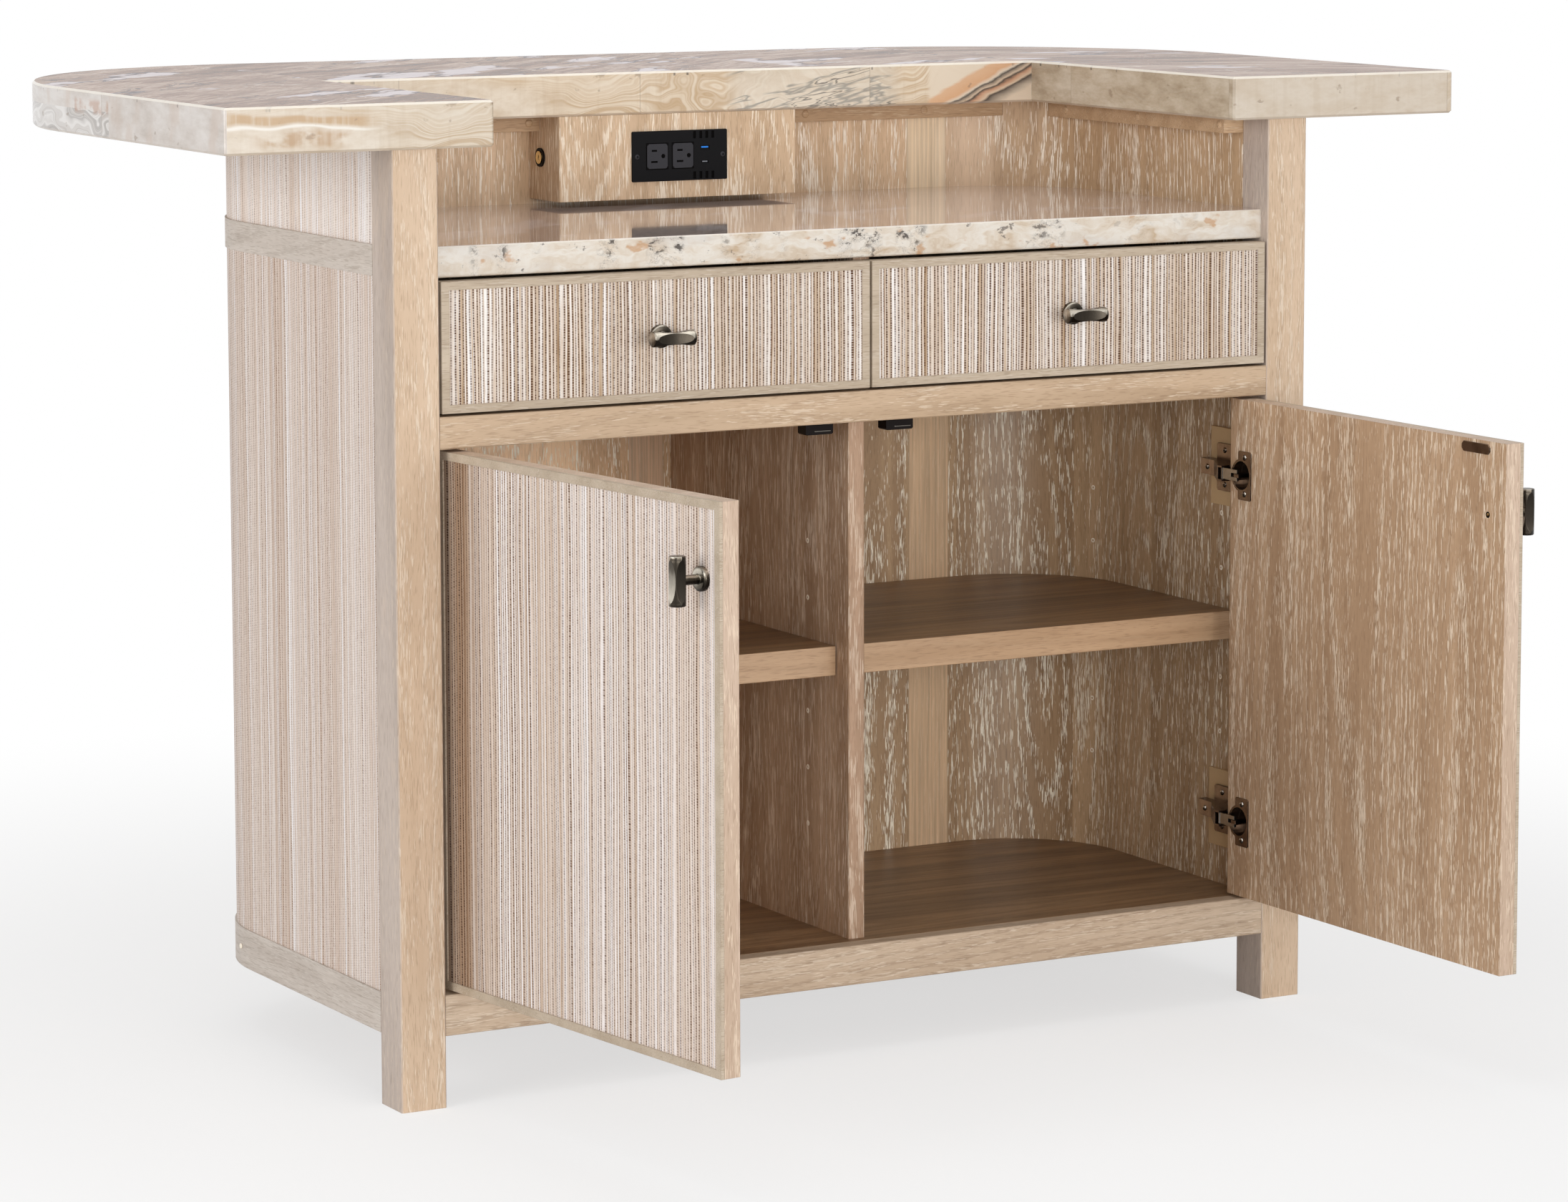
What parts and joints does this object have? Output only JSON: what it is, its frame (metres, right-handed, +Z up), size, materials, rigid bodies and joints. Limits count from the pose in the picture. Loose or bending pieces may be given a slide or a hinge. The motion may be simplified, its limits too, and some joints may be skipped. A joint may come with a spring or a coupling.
{
  "type": "bar cabinet",
  "caption": "U-shaped stone bar top on a rounded woven body, with a niche, a power outlet, drawers with waisted pulls and shelved bays behind open hinged doors.",
  "frame": {"origin": "middle of the footprint, open doors included, on the floor", "axes": "+X to the right of someone who faces the doors, +Y away from that person, +Z up"},
  "size_m": [1.524, 1.3138, 1.067],
  "materials": {
    "bar_stone": "polished",
    "work_stone": "polished",
    "oak": "open grain, satin",
    "oak_inside": "open grain, satin",
    "weave": "vertical woven fibre",
    "bronze": "dark patina, polished",
    "hinge_steel": "dark bronze",
    "nickel": "nickel plated",
    "black_plastic": "matt",
    "port_plastic": "gloss",
    "chrome": "bright",
    "pad": "matt"
  },
  "bodies": {
    "cabinet": {"bar_top": "bar_stone", "top_cleats": "oak_inside", "left_front_leg": "oak", "right_front_leg": "oak", "rear_feet": "oak", "outer_shell": "oak", "upper_weave": "weave", "lower_weave": "weave", "mid_band": "oak", "bottom_band": "oak", "niche_lining": "oak_inside", "bay_lining": "oak_inside", "work_top": "work_stone", "drawer_rail": "oak", "bottom_rail": "oak", "cabinet_floor": "oak_inside", "centre_dividers": "oak_inside", "dust_panel": "oak_inside", "left_shelf": "oak_inside", "right_shelf": "oak_inside", "shelf_pins": "nickel", "power_box": "oak", "outlet_plate": "black_plastic", "outlet_sockets": "black_plastic", "usb_tongues": "port_plastic", "button_bezel": "chrome", "magnetic_catches": "black_plastic", "slide_rails": "nickel", "hinge_pads": "pad", "hinge_arms": "hinge_steel"},
    "left_door": {"left_door_panel": "oak", "left_door_frame": "oak", "left_door_weave": "weave", "left_door_knob": "bronze", "left_strike_plate": "nickel", "left_hinge_cups": "hinge_steel"},
    "left_links": {"left_hinge_links": "nickel"},
    "left_drawer": {"left_drawer_panel": "oak", "left_drawer_frame": "oak", "left_drawer_weave": "weave", "left_drawer_box": "oak_inside", "left_drawer_pull": "bronze", "left_slide_runners": "nickel"},
    "left_carriers": {"left_slide_carriers": "nickel"},
    "right_door": {"right_door_panel": "oak", "right_door_frame": "oak", "right_door_weave": "weave", "right_door_knob": "bronze", "right_strike_plate": "nickel", "right_hinge_cups": "hinge_steel"},
    "right_links": {"right_hinge_links": "nickel"},
    "right_drawer": {"right_drawer_panel": "oak", "right_drawer_frame": "oak", "right_drawer_weave": "weave", "right_drawer_box": "oak_inside", "right_drawer_pull": "bronze", "right_slide_runners": "nickel"},
    "right_carriers": {"right_slide_carriers": "nickel"},
    "button": {"power_button": "black_plastic"}
  },
  "joints": [
    {"name": "left_door_hinge", "type": "hinge", "parent": "cabinet", "child": "left_door", "pos_m": [-0.5004, -0.15781, 0.41175], "axis": [0, 0, -1], "range_deg": [-83, 12]},
    {"name": "left_link_pin", "type": "hinge", "parent": "cabinet", "child": "left_links", "pos_m": [-0.4805, -0.13611, 0.41175], "axis": [0, 0, -1], "range_deg": [-83, 12]},
    {"name": "left_drawer_slide", "type": "slide", "parent": "cabinet", "child": "left_drawer", "axis": [0, -1, 0], "range_m": [0, 0.28]},
    {"name": "left_carrier_slide", "type": "slide", "parent": "cabinet", "child": "left_carriers", "axis": [0, -1, 0], "range_m": [0, 0.14]},
    {"name": "right_door_hinge", "type": "hinge", "parent": "cabinet", "child": "right_door", "pos_m": [0.5004, -0.15781, 0.41175], "axis": [0, 0, 1], "range_deg": [-91, 4]},
    {"name": "right_link_pin", "type": "hinge", "parent": "cabinet", "child": "right_links", "pos_m": [0.4805, -0.13611, 0.41175], "axis": [0, 0, 1], "range_deg": [-91, 4]},
    {"name": "right_drawer_slide", "type": "slide", "parent": "cabinet", "child": "right_drawer", "axis": [0, -1, 0], "range_m": [0, 0.28]},
    {"name": "right_carrier_slide", "type": "slide", "parent": "cabinet", "child": "right_carriers", "axis": [0, -1, 0], "range_m": [0, 0.14]},
    {"name": "button_press", "type": "slide", "parent": "cabinet", "child": "button", "axis": [1, 0, 0], "range_m": [0, 0.002], "stiffness_N_per_m": 400}
  ],
  "couplings": [
    {"joint": "left_link_pin", "follows": "left_door_hinge", "ratio": 1},
    {"joint": "left_carrier_slide", "follows": "left_drawer_slide", "ratio": 0.5},
    {"joint": "right_link_pin", "follows": "right_door_hinge", "ratio": 1},
    {"joint": "right_carrier_slide", "follows": "right_drawer_slide", "ratio": 0.5}
  ]
}
